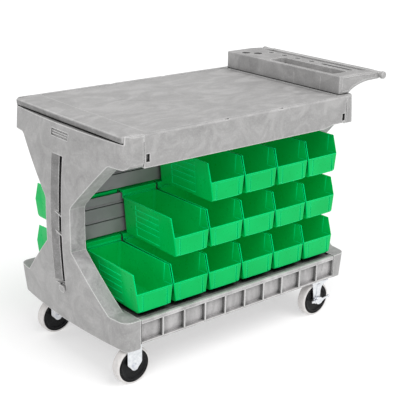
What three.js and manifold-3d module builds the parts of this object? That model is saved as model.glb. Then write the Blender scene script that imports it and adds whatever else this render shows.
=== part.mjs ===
// Utility cart with a structural-foam deck, two hour-glass end frames, a base tray on four
// casters, a louvred divider and thirty lift-off parts bins. Millimetres, +Z up, +X towards
// the handle. The cart is laid out about the middle of its base tray (x = 0) and the finished
// group is moved so that the origin lies under the middle of the overall box.

import * as THREE from 'three';
import { mergeVertices } from 'three/addons/utils/BufferGeometryUtils.js';
import Module from 'manifold-3d';

const wasm = await Module();
wasm.setup();

// ---- driving dimensions -----------------------------------------------------------------

const GAP = 0.4; // clearance between neighbouring pieces
const HALF_WIDTH = 311; // long side rails, measured from the middle plane

const DECK_TOP = 797; // raised rim of the deck
const DECK_SURFACE = 794; // working surface inside the rim
const DECK_UNDER = 775; // underside of the deck slab
const APRON_BOTTOM = 697;
const APRON_THICK = 12;
const LIP_OUT = 482; // the deck ends in a nearly straight lip, between the corner blocks
const LIP_BOW = 3;
const LIP_REACH = 298;
const DECK_SEAM_REAR = -411; // where the apron meets the end frame away from the handle
const DECK_SEAM_HANDLE = 437; // and at the handle end

const BASE_TOP = 220; // top of the base rails
const BASE_FLOOR = 216; // the shelf between them
const BASE_RAIL_BOTTOM = 139;
const BASE_SEAM = 422; // base rails meet the end frames' feet at +-BASE_SEAM
const BASE_TONGUE = 456; // the base runs on inside the feet to here
const RAIL_BAYS = 10; // recessed bays along each base rail

const FRAME_DEPTH = 55; // thickness of an end frame along X
const FRAME_OUT = 490; // outer face at the top and bottom edge, middle of the width
const FRAME_BULGE = 25; // extra at mid height
const FRAME_BOW = 22; // the outer face falls back this far at the two long sides
const CORNER_R = 28; // rounded upright corners
const FRAME_MID_Z = 459;
const FRAME_HALF_Z = 340;
const FRAME_TOP = 773; // the deck's lip overhangs the set-back ledge above this
const WAIST = 70; // half width of the narrow column
const FOOT_TOP = 222;
const FOOT_CAVITY = 461.5; // the hollow foot takes the base tongue and the fixed forks

const TRAY_WALL = 421; // upright face of the tool tray that closes the deck
const TRAY_TOP = 860;
const TRAY_HALF = 286;
const BAR_X = 627;
const BAR_Z = 843;
const BAR_R = 13;
const BAR_HALF = 304;

const PANEL_HALF_X = 434.4;
const PANEL_HALF_Y = 7;
const LOUVRE_PITCH = 50;

const BIN_PITCH = 142;
const BIN_WIDTH = 140;
const BIN_HEIGHT = 127;
const BIN_BACK = 14; // back wall, measured from the middle plane
const BIN_FRONT = 291;
const BIN_WALL = 3;
const BIN_DRAFT = 9.5; // each flank leans in by this much from rim to floor
const LIP_DOWN = 60; // lip of the low front wall, below the rim
const FLARE_FROM = 252; // the flanks flare out in front of this
const BINS_END = 427; // the rows end at x = +-BINS_END
const RIM_TOPS = [355, 505, 655]; // rim height of each row, lowest first
const BINS_IN_ROW = [6, 5, 4];

const WHEEL_R = 61.5;
const WHEEL_W = 32;
const HUB_R = 54;
const NEAR_TRACK = -272; // wheel centre planes
const FAR_TRACK = 171;
const FIXED_X = -433; // axles of the fixed casters
const SWIVEL_X = 405; // kingpins of the swivel casters
const TRAIL = 39;

// ---- solids -----------------------------------------------------------------------------

function solid(geometry) {
  const bare = geometry.clone();
  bare.deleteAttribute('normal');
  bare.deleteAttribute('uv');
  const merged = mergeVertices(bare, 1e-4);
  const vertProperties = new Float32Array(merged.attributes.position.array);
  const triVerts = new Uint32Array(merged.index.array);
  return new wasm.Manifold(new wasm.Mesh({ numProp: 3, vertProperties, triVerts }));
}

function geometryOf(manifold) {
  const mesh = manifold.getMesh();
  const geometry = new THREE.BufferGeometry();
  geometry.setAttribute('position', new THREE.BufferAttribute(mesh.vertProperties, 3));
  geometry.setIndex(new THREE.BufferAttribute(mesh.triVerts, 1));
  geometry.computeVertexNormals();
  return geometry;
}

const join = (...parts) => parts.reduce((a, b) => a.add(b));
const cut = (body, ...tools) => tools.reduce((a, b) => a.subtract(b), body);

function box([x0, x1], [y0, y1], [z0, z1]) {
  const geometry = new THREE.BoxGeometry(x1 - x0, y1 - y0, z1 - z0);
  geometry.translate((x0 + x1) / 2, (y0 + y1) / 2, (z0 + z1) / 2);
  return solid(geometry);
}

// Mirrored pair of boxes, on both long sides of the cart.
function sideBoxes(xs, [y0, y1], zs) {
  return join(box(xs, [y0, y1], zs), box(xs, [-y1, -y0], zs));
}

function extruded(points, length) {
  const shape = new THREE.Shape(points.map(([a, b]) => new THREE.Vector2(a, b)));
  return new THREE.ExtrudeGeometry(shape, { depth: length, bevelEnabled: false });
}

// Outline in (y, z), swept along X.
function alongX(points, [x0, x1]) {
  const geometry = extruded(points, x1 - x0);
  const axes = [new THREE.Vector3(0, 1, 0), new THREE.Vector3(0, 0, 1), new THREE.Vector3(1, 0, 0)];
  geometry.applyMatrix4(new THREE.Matrix4().makeBasis(...axes));
  geometry.translate(x0, 0, 0);
  return solid(geometry);
}

// Outline in (x, z), swept along Y.
function alongY(points, [y0, y1]) {
  const geometry = extruded(points, y1 - y0);
  geometry.rotateX(Math.PI / 2);
  geometry.translate(0, y1, 0);
  return solid(geometry);
}

// Outline in (x, y), swept along Z.
function alongZ(points, [z0, z1]) {
  const geometry = extruded(points, z1 - z0);
  geometry.translate(0, 0, z0);
  return solid(geometry);
}

function cylinder(axis, radius, [from, to], centre, segments = 24) {
  const geometry = new THREE.CylinderGeometry(radius, radius, to - from, segments);
  const [a, b] = centre;
  const middle = (from + to) / 2;
  if (axis === 'x') geometry.rotateZ(-Math.PI / 2).translate(middle, a, b);
  if (axis === 'y') geometry.translate(a, middle, b);
  if (axis === 'z') geometry.rotateX(Math.PI / 2).translate(a, b, middle);
  return solid(geometry);
}

// Points of an arc about (cx, cy), angles in degrees.
function arc(cx, cy, radius, from, to, steps) {
  return Array.from({ length: steps + 1 }, (_, i) => {
    const angle = THREE.MathUtils.degToRad(from + ((to - from) * i) / steps);
    return [cx + radius * Math.cos(angle), cy + radius * Math.sin(angle)];
  });
}

const mirrored = (half) => [...half, ...half.map(([a, b]) => [-a, b]).reverse()];

// Solid between two surfaces x = front(y, z) and x = back(y, z) over a grid of y and z.
function between(front, back, ys, zs) {
  const points = [];
  for (const surface of [front, back])
    for (const z of zs) for (const y of ys) points.push(surface(y, z), y, z);
  const index = [];
  const at = (side, i, j) => side * ys.length * zs.length + j * ys.length + i;
  const quad = (a, b, c, d) => index.push(a, b, c, a, c, d);
  const lastY = ys.length - 1;
  const lastZ = zs.length - 1;
  for (let j = 0; j < lastZ; j++)
    for (let i = 0; i < lastY; i++) {
      quad(at(0, i, j), at(0, i, j + 1), at(0, i + 1, j + 1), at(0, i + 1, j));
      quad(at(1, i, j), at(1, i + 1, j), at(1, i + 1, j + 1), at(1, i, j + 1));
    }
  for (let i = 0; i < lastY; i++) {
    quad(at(0, i, 0), at(0, i + 1, 0), at(1, i + 1, 0), at(1, i, 0));
    quad(at(0, i, lastZ), at(1, i, lastZ), at(1, i + 1, lastZ), at(0, i + 1, lastZ));
  }
  for (let j = 0; j < lastZ; j++) {
    quad(at(0, 0, j), at(1, 0, j), at(1, 0, j + 1), at(0, 0, j + 1));
    quad(at(0, lastY, j), at(0, lastY, j + 1), at(1, lastY, j + 1), at(1, lastY, j));
  }
  const geometry = new THREE.BufferGeometry();
  geometry.setAttribute('position', new THREE.Float32BufferAttribute(points, 3));
  geometry.setIndex(index);
  return solid(geometry);
}

// ---- materials and the scene graph ------------------------------------------------------

const cart = new THREE.Group();

function material(color, roughness, metalness = 0) {
  return new THREE.MeshStandardMaterial({ color, roughness, metalness });
}

const foam = () => material(0xb4b3b1, 0.7);
const paint = () => material(0x8e8e92, 0.5, 0.2);
const binPlastic = () => material(0x0a8a32, 0.35);
const zinc = () => material(0xd5d8dc, 0.3, 0.9);
const hubPlastic = () => material(0x1c1c1f, 0.45);
const tyreRubber = () => material(0xc8c6c4, 0.65);

function place(name, geometry, finish, parent = cart) {
  const mesh = new THREE.Mesh(geometry, finish);
  mesh.name = name;
  parent.add(mesh);
  return mesh;
}

// ---- deck -------------------------------------------------------------------------------

function lipCurve(sign) {
  const steps = 8;
  return Array.from({ length: steps + 1 }, (_, i) => {
    const y = sign * LIP_REACH * ((2 * i) / steps - 1);
    return [sign * (LIP_OUT - LIP_BOW * (y / LIP_REACH) ** 2), y];
  });
}

function makeDeck() {
  const rear = DECK_SEAM_REAR + GAP;
  const front = DECK_SEAM_HANDLE - GAP;
  const outline = [
    [rear, -LIP_REACH], [rear, -HALF_WIDTH], [front, -HALF_WIDTH], [front, -LIP_REACH],
    ...lipCurve(1),
    [front, LIP_REACH], [front, HALF_WIDTH], [rear, HALF_WIDTH], [rear, LIP_REACH],
    ...lipCurve(-1),
  ];
  const slab = alongZ(outline, [DECK_UNDER, DECK_TOP]);
  const side = [
    [rear, DECK_UNDER + 1], [rear, APRON_BOTTOM], [333, APRON_BOTTOM],
    [372, APRON_BOTTOM + 9], [front, APRON_BOTTOM + 9], [front, DECK_UNDER + 1],
  ];
  const inner = HALF_WIDTH - APRON_THICK;
  const aprons = join(alongY(side, [inner, HALF_WIDTH]), alongY(side, [-HALF_WIDTH, -inner]));
  const well = box([-388, 418], [-296, 296], [DECK_SURFACE, DECK_TOP + 1]);
  const notches = [-97, 131].map((x) =>
    sideBoxes([x - 8, x + 8], [302, HALF_WIDTH + 1], [DECK_SURFACE, DECK_TOP + 1]));
  const slots = [-396, 424].map((x) =>
    sideBoxes([x - 6.5, x + 6.5], [inner - 1, HALF_WIDTH + 1], [714, 738]));
  return cut(join(slab, aprons), well, ...notches, ...slots);
}
place('deck_top', geometryOf(makeDeck()), foam());

// ---- tool tray with grab handle ---------------------------------------------------------

function makeTray() {
  const bottom = DECK_TOP + GAP;
  const sweep = [[468, bottom], [479, 803], [490, 810], [504, 816], [520, 821.5], [541, 826],
    [565, 829]];
  const tipX = BAR_X - 4;
  const profile = [
    [TRAY_WALL, bottom], ...sweep, [tipX, 830], [tipX, BAR_Z + 9],
    [590, TRAY_TOP - 3], [540, TRAY_TOP], [TRAY_WALL, TRAY_TOP],
  ];
  const wing = alongY(profile, [-TRAY_HALF, TRAY_HALF]);
  const bar = cylinder('y', BAR_R, [-BAR_HALF, BAR_HALF], [BAR_X, BAR_Z], 16);
  const handGap = box([567, BAR_X - BAR_R + 1], [-252, 252], [780, 880]);
  const recess = box([440, 503], [-238, 72], [TRAY_TOP - 34, TRAY_TOP + 1]);
  const longSlot = box([529, 546], [-235, -85], [815, TRAY_TOP + 1]);
  const holes = [172, 102, 32, -38].map((y) =>
    cylinder('z', 11, [815, TRAY_TOP + 1], [540, y], 16));
  const cups = [[457, 222], [486, 188]].map((centre) =>
    cylinder('z', 17, [TRAY_TOP - 40, TRAY_TOP + 1], centre, 16));
  const body = cut(wing, handGap, recess, longSlot, ...holes, ...cups);
  return join(body, bar);
}
place('handle_tray', geometryOf(makeTray()), foam());

// ---- end frames -------------------------------------------------------------------------

const bow = (y) => FRAME_BOW * (y / 300) ** 2;

function frameFace(y, z) {
  const bulge = FRAME_BULGE * (1 - ((z - FRAME_MID_Z) / FRAME_HALF_Z) ** 2);
  return -FRAME_OUT - bulge + bow(y);
}

function frameOuter(y, z) {
  const past = Math.max(0, Math.abs(y) - (HALF_WIDTH - CORNER_R));
  return frameFace(y, z) + CORNER_R - Math.sqrt(CORNER_R ** 2 - past ** 2);
}

const half = [HALF_WIDTH, 309, 304, 296, HALF_WIDTH - CORNER_R, 220, 150, 75];
const FRAME_YS = [...half.map((y) => -y), 0, ...half.slice().reverse()];
const FRAME_ZS = Array.from({ length: 9 }, (_, i) => 119 + i * 85);

function shell(fromOffset, backX) {
  const back = typeof backX === 'number' ? () => backX : backX;
  return between((y, z) => frameOuter(y, z) + fromOffset, back, FRAME_YS, FRAME_ZS);
}

// The end frame is open at the back, with walls 9 mm thick around this outline.
function hollowOutline(outline) {
  return new wasm.CrossSection([outline], 'EvenOdd').offset(-9, 'Miter').toPolygons()[0];
}

// Built for the end away from the handle; the other end is its mirror image.
function makeFrame(topSeam, footBottom, shoulder) {
  const outline = mirrored([
    [HALF_WIDTH + 1, FRAME_TOP], [HALF_WIDTH + 1, shoulder + 12], [299, shoulder],
    [shoulder - 460, shoulder], [76, 536], [WAIST, 524], [WAIST, 386], [74, 378], [236, FOOT_TOP],
    [HALF_WIDTH + 1, FOOT_TOP], [HALF_WIDTH + 1, footBottom + 10], [302, footBottom],
  ]);
  const innermost = -Math.max(topSeam, BASE_SEAM) - GAP;
  const inner = (y, z) => Math.min(frameFace(y, z) + FRAME_DEPTH, innermost);
  const panel = alongX(outline, [-540, -380]).intersect(shell(0, inner));
  const ledge = box([-540, -380], [-LIP_REACH - 1, LIP_REACH + 1], [FRAME_TOP - 5, DECK_UNDER - GAP])
    .intersect(shell(22, inner));
  const knuckle = [
    [LIP_REACH + GAP, DECK_TOP], [LIP_REACH + GAP, 700], [301, 700], [HALF_WIDTH + 1, 712],
    [HALF_WIDTH + 1, 792], [307, DECK_TOP],
  ];
  const flipped = knuckle.map(([y, z]) => [-y, z]).reverse();
  const corners = join(...[knuckle, flipped].map((points) => alongX(points, [-540, -380])))
    .intersect(shell(-4, -topSeam - GAP));
  const foot = alongX(mirrored([
    [HALF_WIDTH + 1, FOOT_TOP], [HALF_WIDTH + 1, footBottom + 10], [302, footBottom],
  ]), [-540, -380]).intersect(shell(0, -BASE_SEAM - GAP));
  const cavity = box([-FOOT_CAVITY, -380], [-299, 299], [100, 206]);
  const flange = box([-475, -PANEL_HALF_X - GAP], [-16, 16], [FOOT_TOP - 4, 698]);
  const channel = between((y, z) => frameFace(y, z) - 20,
    (y, z) => frameFace(y, z) + 0.5 + (40 - y) * 0.3, FRAME_YS, FRAME_ZS,
  ).intersect(box([-560, -440], [-22, 40], [252, 680]));
  const groove = box([-560, -475], [-22, 8], [250, 680]);
  const pocket = alongX(hollowOutline(outline), [-540, -380])
    .intersect(between((y, z) => frameOuter(y, z) + 9, () => -380, FRAME_YS, FRAME_ZS))
    .intersect(box([-540, -380], [-302, 302], [FOOT_TOP + 9, 748]))
    .subtract(join(
      box([-540, -380], [-30, 30], [200, 800]),
      ...[290, 610, 690].map((z) => box([-540, -380], [-310, 310], [z - 3, z + 3])),
    ));
  const label = box([-540, -380], [-44, 50], [733, 755]).intersect(
    between((y, z) => frameOuter(y, z) - 5, (y, z) => frameOuter(y, z) + 3, FRAME_YS, FRAME_ZS));
  const body = cut(join(panel, ledge, corners, foot), cavity, pocket, channel, groove, label);
  return body.add(flange);
}

function mirroredInX(geometry) {
  geometry.scale(-1, 1, 1);
  const index = geometry.index.array;
  for (let i = 0; i < index.length; i += 3) [index[i], index[i + 1]] = [index[i + 1], index[i]];
  geometry.computeVertexNormals();
  return geometry;
}
place('end_frame_rear', geometryOf(makeFrame(-DECK_SEAM_REAR, 121, 700)), foam());
place('end_frame_handle', mirroredInX(geometryOf(makeFrame(DECK_SEAM_HANDLE, 134.5, 712))), foam());

// ---- base tray --------------------------------------------------------------------------

function makeBase() {
  const seam = BASE_SEAM;
  const rails = sideBoxes([-seam, seam], [285, HALF_WIDTH], [BASE_RAIL_BOTTOM, BASE_TOP]);
  const slab = box([-seam, seam], [-290, 290], [200, BASE_FLOOR]);
  const tongue = box([-BASE_TONGUE, BASE_TONGUE], [-290, 290], [186, 202]);
  const bay = (2 * seam) / RAIL_BAYS;
  const bays = Array.from({ length: RAIL_BAYS }, (_, i) => {
    const x0 = -seam + i * bay;
    return sideBoxes([x0 + 3, x0 + bay - 3], [297, HALF_WIDTH + 1], [146, 208]);
  });
  const pads = [];
  for (const track of [NEAR_TRACK, FAR_TRACK])
    for (const [x0, x1] of [[-BASE_TONGUE, -384], [360, BASE_TONGUE]]) {
      const outer = Math.min(298, Math.abs(track) + 36);
      const ys = [Math.abs(track) - 36, outer].map((y) => y * Math.sign(track));
      pads.push(box([x0, x1], ys.sort((a, b) => a - b), [BASE_RAIL_BOTTOM, 188]));
    }
  return cut(join(rails, slab, tongue, ...pads), ...bays);
}
place('base_deck', geometryOf(makeBase()), foam());

// ---- louvred divider --------------------------------------------------------------------

const HOOK_REST = 12; // a bin's hook rests this far above the bin's rim
const HOOK_SLOT = 17.5; // height of the slots that take the hooks
const HOOK_DEEP = 7; // the hooks reach down this far behind the sheet
const SHEET = 1.6; // the divider is a flat box of sheet steel

function makeLouvres() {
  const wallY = [-PANEL_HALF_Y, PANEL_HALF_Y];
  const shell = box([-PANEL_HALF_X, PANEL_HALF_X], wallY, [FOOT_TOP + GAP, DECK_UNDER - GAP]);
  const sill = box([-BASE_SEAM + 2, BASE_SEAM - 2], wallY, [BASE_FLOOR + GAP, FOOT_TOP + 2]);
  const hollow = box([-PANEL_HALF_X + SHEET, PANEL_HALF_X - SHEET],
    [-PANEL_HALF_Y + SHEET, PANEL_HALF_Y - SHEET], [FOOT_TOP + 3, DECK_UNDER - 3]);
  const slotX = [-424, 424];
  const through = [-PANEL_HALF_Y - 1, PANEL_HALF_Y + 1];
  const openings = [];
  for (const rim of RIM_TOPS) {
    const seat = rim + HOOK_REST;
    openings.push(box([-BINS_END - 1, BINS_END + 1], through, [seat, seat + HOOK_SLOT]));
    for (const step of [1, 2]) {
      const z = seat + HOOK_SLOT - step * LOUVRE_PITCH;
      openings.push(box(slotX, through, [z - 4, z]));
    }
  }
  return cut(join(shell, sill), hollow, ...openings);
}
place('louvre_panel', geometryOf(makeLouvres()), paint());

// ---- bins -------------------------------------------------------------------------------

// Half width of the bin body: full at the front rim, less towards the floor and the back. The
// front edge keeps the full width down to the lip of the front wall.
function binHalfWidth(out, down, inset) {
  const flared = out > 280 && down <= LIP_DOWN;
  const draft = flared ? 0 : (BIN_DRAFT * down) / BIN_HEIGHT;
  const taper = (3 * (BIN_FRONT - out)) / (BIN_FRONT - BIN_BACK);
  return BIN_WIDTH / 2 - draft - Math.max(taper, 0) - inset;
}

// Solid with the side profile given as (out, down) points and plane, drafted flanks.
function binBlock(profile, inset) {
  const points = [];
  for (const side of [-1, 1])
    for (const [out, down] of profile)
      points.push(side * binHalfWidth(out, down, inset), -out, -down);
  const contour = profile.map(([out, down]) => new THREE.Vector2(out, -down));
  const count = profile.length;
  const index = [];
  for (const [a, b, c] of THREE.ShapeUtils.triangulateShape(contour, []))
    index.push(a, b, c, count + a, count + c, count + b);
  for (let i = 0; i < count; i++) {
    const next = (i + 1) % count;
    index.push(i, count + i, count + next, i, count + next, next);
  }
  const geometry = new THREE.BufferGeometry();
  geometry.setAttribute('position', new THREE.Float32BufferAttribute(points, 3));
  geometry.setIndex(index);
  return solid(geometry);
}

// A bin standing at the near side (its front towards -Y), rim at z = 0, middle at x = 0.
function makeBin() {
  const floor = BIN_HEIGHT;
  const body = join(
    binBlock([[BIN_BACK, 0], [BIN_BACK + 4, floor], [FLARE_FROM, floor], [FLARE_FROM, 0]], 0),
    binBlock([
      [FLARE_FROM, 0], [FLARE_FROM, floor], [283, floor], [BIN_FRONT, floor - 9],
      [290, LIP_DOWN], [274, 6], [266, 0],
    ], 0),
  );
  const depth = floor - BIN_WALL;
  const inside = join(
    binBlock([
      [BIN_BACK + 3, -4], [BIN_BACK + 7, depth], [FLARE_FROM, depth], [FLARE_FROM, -4],
    ], BIN_WALL),
    binBlock([
      [FLARE_FROM, -4], [FLARE_FROM, depth], [282, depth], [288, floor - 9], [287, LIP_DOWN],
      [320, LIP_DOWN], [320, -4],
    ], BIN_WALL),
  );
  const width = [-BIN_WIDTH / 2 + 3, BIN_WIDTH / 2 - 3];
  const top = HOOK_REST + 10;
  const lip = join(box(width, [-BIN_BACK - 3, -BIN_BACK + 3.5], [-3, 2]),
    box(width, [-BIN_BACK, -BIN_BACK + 3.5], [1, top]));
  const bridge = box(width, [-BIN_BACK + 1, -0.8], [HOOK_REST + 0.4, top]);
  const tab = box(width, [-3.4, -0.8], [HOOK_REST - HOOK_DEEP + 0.8, top]);
  return join(cut(body, inside), lip, bridge, tab);
}

const binGeometry = geometryOf(makeBin());
for (const [side, turn] of [['near', 0], ['far', Math.PI]]) {
  const bank = new THREE.Group();
  bank.rotation.z = turn;
  cart.add(bank);
  RIM_TOPS.forEach((rim, row) => {
    for (let i = 0; i < BINS_IN_ROW[row]; i++) {
      const name = `bin_${side}_${row + 1}_${i + 1}`;
      const bin = place(name, binGeometry, binPlastic(), bank);
      bin.position.set(BINS_END - BIN_PITCH / 2 - i * BIN_PITCH, 0, rim);
    }
  });
}

// ---- casters ----------------------------------------------------------------------------

const AXLE_R = 6;
const LEG_IN = WHEEL_W / 2 + 3;
const LEG_OUT = LEG_IN + 3;
const PLATE = [BASE_RAIL_BOTTOM - GAP - 4, BASE_RAIL_BOTTOM - GAP];

// Lathe a closed (radius, along) profile about the wheel's axle, which lies along Y.
function turned(profile, segments) {
  const points = [...profile, profile[0]].map(([r, y]) => new THREE.Vector2(r, y));
  return solid(new THREE.LatheGeometry(points, segments));
}

function makeHub() {
  const w = WHEEL_W / 2;
  return geometryOf(turned([
    [AXLE_R + GAP, -w - 1.5], [15, -w - 1.5], [18, -w + 4], [38, -w + 4], [42, -w], [HUB_R, -w],
    [HUB_R, w], [42, w], [38, w - 4], [18, w - 4], [15, w + 1.5], [AXLE_R + GAP, w + 1.5],
  ], 32));
}

function makeTyre() {
  const w = WHEEL_W / 2;
  return geometryOf(turned([
    [HUB_R + GAP, -w], [WHEEL_R - 3, -w], [WHEEL_R, -w + 4], [WHEEL_R, w - 4], [WHEEL_R - 3, w],
    [HUB_R + GAP, w],
  ], 48));
}

function makeAxle() {
  const shaft = cylinder('y', AXLE_R, [-LEG_OUT - 0.5, LEG_OUT + 0.5], [0, 0], 16);
  const head = cylinder('y', 10, [-LEG_OUT - 5.5, -LEG_OUT - GAP], [0, 0], 6);
  const nut = cylinder('y', 10, [LEG_OUT + GAP, LEG_OUT + 6.5], [0, 0], 6);
  return geometryOf(join(shaft, head, nut));
}

function legs(profile) {
  const hole = cylinder('y', AXLE_R + GAP, [-60, 60], [0, 0], 16);
  const pair = join(alongY(profile, [LEG_IN, LEG_OUT]), alongY(profile, [-LEG_OUT, -LEG_IN]));
  return cut(pair, hole);
}

// Wheel parts are drawn about the axle, the origin of each caster's wheel group.
function addWheel(name, parent) {
  place(`${name}_hub`, makeHub(), hubPlastic(), parent);
  place(`${name}_tyre`, makeTyre(), tyreRubber(), parent);
  place(`${name}_axle`, makeAxle(), zinc(), parent);
}

function addFixedCaster(name, track) {
  const group = new THREE.Group();
  group.position.set(FIXED_X, track, WHEEL_R);
  cart.add(group);
  const top = PLATE.map((z) => z - WHEEL_R);
  const profile = [
    [-27, top[1]], [-27, 10], ...arc(0, 0, 14, 205, 335, 6), [27, 10], [27, top[1]],
  ];
  const plate = box([-22.5, 49], [-26, 26], top);
  const bend = box([-22.5, 27], [-LEG_OUT, LEG_OUT], top);
  place(`${name}_fork`, geometryOf(join(legs(profile), plate, bend)), zinc(), group);
  addWheel(name, group);
}

function addSwivelCaster(name, track, brakeSide) {
  const group = new THREE.Group();
  group.position.set(SWIVEL_X, track, 0);
  cart.add(group);
  const base = join(
    box([-44, 44], [-26, 26], PLATE),
    cylinder('z', 22, [PLATE[0] - 4.6, PLATE[0] + 1], [0, 0], 24),
  );
  place(`${name}_plate`, geometryOf(base), zinc(), group);
  const wheel = new THREE.Group();
  wheel.position.set(-TRAIL, 0, WHEEL_R);
  group.add(wheel);
  const crownTop = PLATE[0] - 4.6 - GAP - WHEEL_R;
  const crown = [crownTop - 4, crownTop];
  const profile = [
    [-25, crown[0]], ...arc(0, 0, 16, 190, 345, 6), [16, crown[0] - 30], [TRAIL + 12, crown[0]],
    [TRAIL + 12, crown[1]], [-25, crown[1]],
  ];
  const saddle = box([-25, TRAIL + 12], [-LEG_OUT, LEG_OUT], crown);
  const disc = cylinder('z', 26, crown, [TRAIL, 0], 24);
  place(`${name}_fork`, geometryOf(join(legs(profile), saddle, disc)), zinc(), wheel);
  addWheel(name, wheel);
  const y0 = LEG_OUT + 7.2;
  const pedal = alongY([
    [-32, -2], [-30, 5], [-12, 3], [-9, 12], [10, 13], [13, 5], [48, 8], [52, 3], [16, -7],
    [8, -14], [-6, -13], [-14, -5],
  ], brakeSide > 0 ? [y0, y0 + 5] : [-y0 - 5, -y0]);
  place(`${name}_brake`, geometryOf(pedal), zinc(), wheel);
}

addFixedCaster('caster_rear_near', NEAR_TRACK);
addFixedCaster('caster_rear_far', FAR_TRACK);
addSwivelCaster('caster_handle_near', NEAR_TRACK, -1);
addSwivelCaster('caster_handle_far', FAR_TRACK, 1);

// ---- the origin under the middle of the overall box -------------------------------------

const REAR_END = -FRAME_OUT - FRAME_BULGE;
const HANDLE_END = BAR_X + BAR_R;
cart.position.x = -(REAR_END + HANDLE_END) / 2;

export default cart;
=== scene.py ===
"""Studio scene of the tool cart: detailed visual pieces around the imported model."""

import math

import bmesh
import bpy
from mathutils import Matrix, Vector


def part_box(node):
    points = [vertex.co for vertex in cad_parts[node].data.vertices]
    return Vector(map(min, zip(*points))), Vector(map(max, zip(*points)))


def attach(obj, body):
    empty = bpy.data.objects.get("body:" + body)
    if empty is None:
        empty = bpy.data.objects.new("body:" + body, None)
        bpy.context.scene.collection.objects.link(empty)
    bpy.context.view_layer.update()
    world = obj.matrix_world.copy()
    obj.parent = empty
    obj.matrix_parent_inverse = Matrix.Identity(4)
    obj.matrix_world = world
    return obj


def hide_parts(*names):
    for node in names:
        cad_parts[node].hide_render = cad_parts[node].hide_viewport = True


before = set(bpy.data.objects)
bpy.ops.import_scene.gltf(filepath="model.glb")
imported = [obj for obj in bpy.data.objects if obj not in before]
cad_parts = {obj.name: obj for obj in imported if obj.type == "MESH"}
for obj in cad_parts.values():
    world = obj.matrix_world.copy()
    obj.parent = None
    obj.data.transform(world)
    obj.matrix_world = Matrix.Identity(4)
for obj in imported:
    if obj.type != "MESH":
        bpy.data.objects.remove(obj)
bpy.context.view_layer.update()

MM = 0.001
BASE_LO, BASE_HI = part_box("base_deck")
MID_X = (BASE_LO.x + BASE_HI.x) / 2  # the middle of the base, where the layout's x is 0

# ---- sizes in millimetres, about the middle of the base ----------------------------------

GAP = 0.4
HALF_WIDTH = 311
DECK_TOP, DECK_SURFACE, DECK_UNDER = 797, 794, 775
APRON_BOTTOM, APRON_THICK = 697, 12
SEAM_REAR, SEAM_HANDLE = -411, 437
BASE_TOP, BASE_FLOOR, RAIL_BOTTOM = 220, 216, 139
BASE_SEAM, BASE_TONGUE, RAIL_BAYS = 422, 456, 10
FRAME_OUT, FRAME_BULGE, FRAME_BOW, FRAME_DEPTH = 490, 25, 22, 55
FRAME_MID_Z, FRAME_HALF_Z = 459, 340
FOOT_TOP, WAIST = 222, 70
TRAY_WALL, TRAY_TOP, TRAY_HALF = 421, 860, 286
BAR_X, BAR_Z, BAR_R, BAR_HALF = 627, 843, 13, 304
BIN_PITCH, BIN_WIDTH, BIN_HEIGHT, BIN_BACK, BIN_FRONT = 142, 140, 127, 14, 291
BINS_END = 427
RIM_TOPS = (355, 505, 655)
BINS_IN_ROW = (6, 5, 4)
HOOK_REST = 12
BIN_WALL, BIN_DRAFT, LIP_DOWN, FLARE_FROM = 3, 9.5, 60, 252
HOOK_SLOT, HOOK_DEEP, LOUVRE_PITCH, SHEET = 17.5, 7, 50, 1.6
PANEL_HALF_X, PANEL_HALF_Y = 434.4, 7
CORNER_R, FRAME_TOP = 28, 773.8
LIP_OUT, LIP_BOW, LIP_REACH = 482, 3, 298  # the deck's nearly straight ends
WHEEL_R, WHEEL_W, HUB_R = 61.5, 32, 54
NEAR_TRACK, FAR_TRACK, FIXED_X, SWIVEL_X, TRAIL = -272, 171, -433, 405, 39
CHANNEL_LOW, CHANNEL_HIGH, CHANNEL_NEAR = 252, 680, -22  # the recess in an end frame's outer face
CROSS_RIBS = (427, 490)
REAR_FOOT, HANDLE_FOOT = 121, 134.5  # undersides of the feet; the higher one clears the swivels
REAR_SHOULDER, HANDLE_SHOULDER = 700, 712
RAIL_BAY_LOW, RAIL_BAY_HIGH, BAY_RIB, BAY_DRAFT = 146, 208, 2.5, 1.0


# ---- camera, floor and light ---------------------------------------------------------------

CAMERA_AT = Vector((-2.037, -2.437, 1.514))
CAMERA_AZIMUTH, CAMERA_ELEVATION, CAMERA_ROLL = -39.85, 19.03, 1.04
CAMERA_LENS = 86.85  # on a 36 mm sensor


def add_camera():
    azimuth, elevation, roll = (math.radians(a) for a in
                                (CAMERA_AZIMUTH, CAMERA_ELEVATION, CAMERA_ROLL))
    forward = Vector((-math.sin(azimuth) * math.cos(elevation),
                      math.cos(azimuth) * math.cos(elevation), -math.sin(elevation)))
    right = forward.cross(Vector((0, 0, 1))).normalized()
    up = right.cross(forward)
    right, up = (math.cos(roll) * right + math.sin(roll) * up,
                 -math.sin(roll) * right + math.cos(roll) * up)
    camera = bpy.data.objects.new("camera", bpy.data.cameras.new("camera"))
    bpy.context.scene.collection.objects.link(camera)
    camera.matrix_world = Matrix.Translation(CAMERA_AT) @ Matrix(
        (right, up, -forward)).transposed().to_4x4()
    camera.data.lens = CAMERA_LENS
    camera.data.sensor_width = 36
    camera.data.clip_end = 50
    bpy.context.scene.camera = camera


def add_sun(name, towards, strength, spread):
    """A broad, soft light that comes from one direction."""
    light = bpy.data.lights.new(name, "SUN")
    light.energy = strength
    light.angle = math.radians(spread)
    lamp = bpy.data.objects.new(name, light)
    bpy.context.scene.collection.objects.link(lamp)
    lamp.rotation_euler = (-Vector(towards)).to_track_quat("-Z", "Y").to_euler()


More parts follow.
